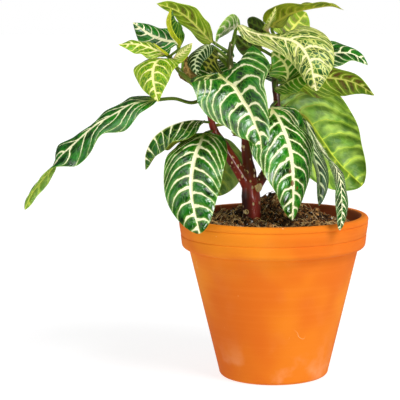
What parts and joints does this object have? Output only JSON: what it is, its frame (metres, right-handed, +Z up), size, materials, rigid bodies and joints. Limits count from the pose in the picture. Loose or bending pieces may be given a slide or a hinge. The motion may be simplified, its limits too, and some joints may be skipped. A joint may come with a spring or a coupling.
{
  "type": "potted zebra plant",
  "caption": "Striped-leaved houseplant with a forked woody stem, growing in soil in a round tapered clay pot with a banded rim.",
  "frame": {"origin": "centre of the pot's flat underside, on the surface that the pot stands on", "axes": "+Z up along the pot's axis; -Y towards the viewer, where the leaning leaves show best; +X to the viewer's right"},
  "size_m": [0.325, 0.1799, 0.3545],
  "materials": {
    "terracotta": "unglazed fired clay, matte orange, faint pale scuffs",
    "potting_soil": "dark fibrous peat with bark crumbs and white grit, dull",
    "bark": "smooth mahogany-brown stem, slightly glossy, with pale dots and leaf scars",
    "leaf": "glossy dark green blade with cream midrib and side veins",
    "young_leaf": "satin lime green blade with cream veins"
  },
  "bodies": {
    "root": {"pot": "terracotta", "soil": "potting_soil", "stem": "bark", "leaf_left_1": "leaf", "leaf_left_2": "leaf", "leaf_left_3": "leaf", "leaf_left_4": "young_leaf", "leaf_left_5": "leaf", "leaf_left_6": "leaf", "leaf_left_7": "young_leaf", "leaf_left_8": "leaf", "leaf_left_9": "leaf", "leaf_left_10": "young_leaf", "leaf_left_11": "young_leaf", "leaf_left_12": "young_leaf", "leaf_left_13": "young_leaf", "leaf_middle_1": "leaf", "leaf_middle_2": "leaf", "leaf_middle_3": "leaf", "leaf_middle_4": "leaf", "leaf_middle_5": "young_leaf", "leaf_middle_6": "leaf", "leaf_middle_7": "leaf", "leaf_middle_8": "leaf", "leaf_right_1": "leaf", "leaf_right_2": "leaf", "leaf_right_3": "leaf", "leaf_right_4": "leaf", "leaf_right_5": "leaf", "leaf_right_6": "leaf", "leaf_right_7": "young_leaf", "leaf_right_8": "leaf", "leaf_right_9": "leaf", "leaf_right_10": "leaf", "leaf_right_11": "leaf", "leaf_right_12": "young_leaf", "leaf_right_13": "young_leaf", "leaf_right_14": "leaf", "leaf_right_15": "young_leaf"}
  },
  "joints": []
}
